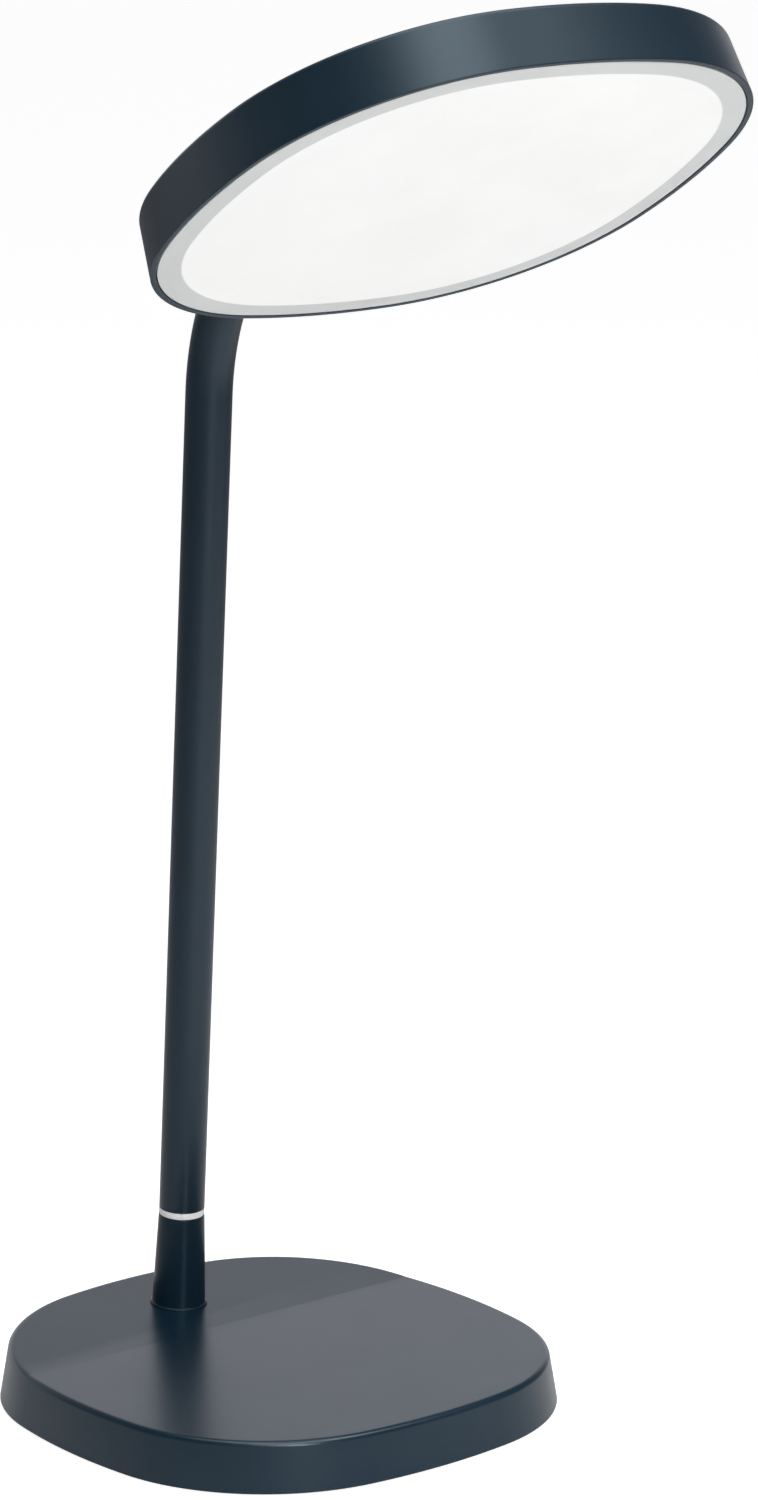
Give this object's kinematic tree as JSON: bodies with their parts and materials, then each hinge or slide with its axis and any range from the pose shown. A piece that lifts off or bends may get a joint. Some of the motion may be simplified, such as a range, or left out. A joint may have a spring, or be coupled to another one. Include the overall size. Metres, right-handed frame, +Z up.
{
  "type": "light therapy lamp",
  "caption": "Table lamp with a thin rounded-square light panel that tilts on a bent tube stem, which swivels in a collar on a weighted base.",
  "frame": {"origin": "on the table, under the middle of the base", "axes": "+Z up; -Y is the front, the side the light panel faces; +X to the right of someone behind the lamp"},
  "size_m": [0.1967, 0.2785, 0.4878],
  "materials": {
    "navy_plastic": "satin dark blue-grey moulding",
    "navy_paint": "satin dark blue-grey paint on steel tube",
    "white_plastic": "white gloss moulding",
    "key_plastic": "satin dark blue-grey moulding",
    "black_rubber": "matt black rubber",
    "black_plastic": "matt black moulding",
    "steel": "zinc-plated steel",
    "black_paint": "satin black paint on die-cast metal",
    "contact_brass": "plated contact",
    "white_moulding": "white moulding",
    "board": "white solder-resist circuit board",
    "white_parts": "white reflective",
    "aluminium": "plain sheet",
    "clear_acrylic": "clear acrylic plate",
    "opal_acrylic": "opal acrylic sheet"
  },
  "bodies": {
    "base": {"nonslip_pad": "black_rubber", "base_pan": "black_plastic", "base_cover": "navy_plastic", "ballast_plate": "steel", "base_screws": "steel", "ballast_screws": "steel", "dc_jack": "black_plastic", "dc_jack_pin": "contact_brass", "inlet_board": "board", "inlet_board_screws": "steel", "base_lead": "black_plastic", "stem_collar": "navy_plastic", "backing_plate": "steel", "collar_nut": "steel", "upper_bush": "white_moulding", "lower_bush": "white_moulding", "stop_screw": "steel"},
    "stem": {"trim_ring": "white_plastic", "swivel_shaft": "steel", "swivel_washer": "steel", "spring_washer": "steel", "swivel_nut": "steel", "stem_tube": "navy_paint", "stem_lead": "black_plastic", "arm_knuckle": "steel"},
    "head": {"friction_washers": "black_plastic", "hinge_bracket": "black_paint", "bracket_backing": "steel", "lead_grommet": "black_rubber", "bracket_screws": "steel", "hinge_bolt": "steel", "hinge_nut": "steel", "hinge_caps": "key_plastic", "head_housing": "navy_plastic", "diffuser": "opal_acrylic", "light_frame": "white_moulding", "frame_screws": "steel", "light_guide": "clear_acrylic", "reflector_sheet": "white_parts", "chassis_plate": "aluminium", "led_strip": "board", "led_chips": "white_parts", "control_board": "board", "control_board_screws": "steel", "tact_switches": "black_plastic", "driver_parts": "black_plastic", "board_connector": "black_plastic", "head_lead": "black_plastic"},
    "power_key": {"power_button": "key_plastic"},
    "brightness_key": {"brightness_button": "key_plastic"},
    "colour_key": {"colour_button": "key_plastic"}
  },
  "joints": [
    {"name": "stem_swivel", "type": "hinge", "parent": "base", "child": "stem", "pos_m": [0, 0.0572, 0.01942], "axis": [0, -0.0663, 0.9978], "range_deg": [-84.2, 95.8]},
    {"name": "head_tilt", "type": "hinge", "parent": "stem", "child": "head", "pos_m": [-0.01191, -0.0894, 0.45774], "axis": [-0.9949, 0.1008, 0.0067], "range_deg": [-5, 60]},
    {"name": "power_press", "type": "slide", "parent": "head", "child": "power_key", "axis": [-0.0562, -0.4972, -0.8658], "range_m": [0, 0.0006], "stiffness_N_per_m": 900, "springref_m": -0.0005},
    {"name": "brightness_press", "type": "slide", "parent": "head", "child": "brightness_key", "axis": [-0.0562, -0.4972, -0.8658], "range_m": [0, 0.0006], "stiffness_N_per_m": 900, "springref_m": -0.0005},
    {"name": "colour_press", "type": "slide", "parent": "head", "child": "colour_key", "axis": [-0.0562, -0.4972, -0.8658], "range_m": [0, 0.0006], "stiffness_N_per_m": 900, "springref_m": -0.0005}
  ]
}
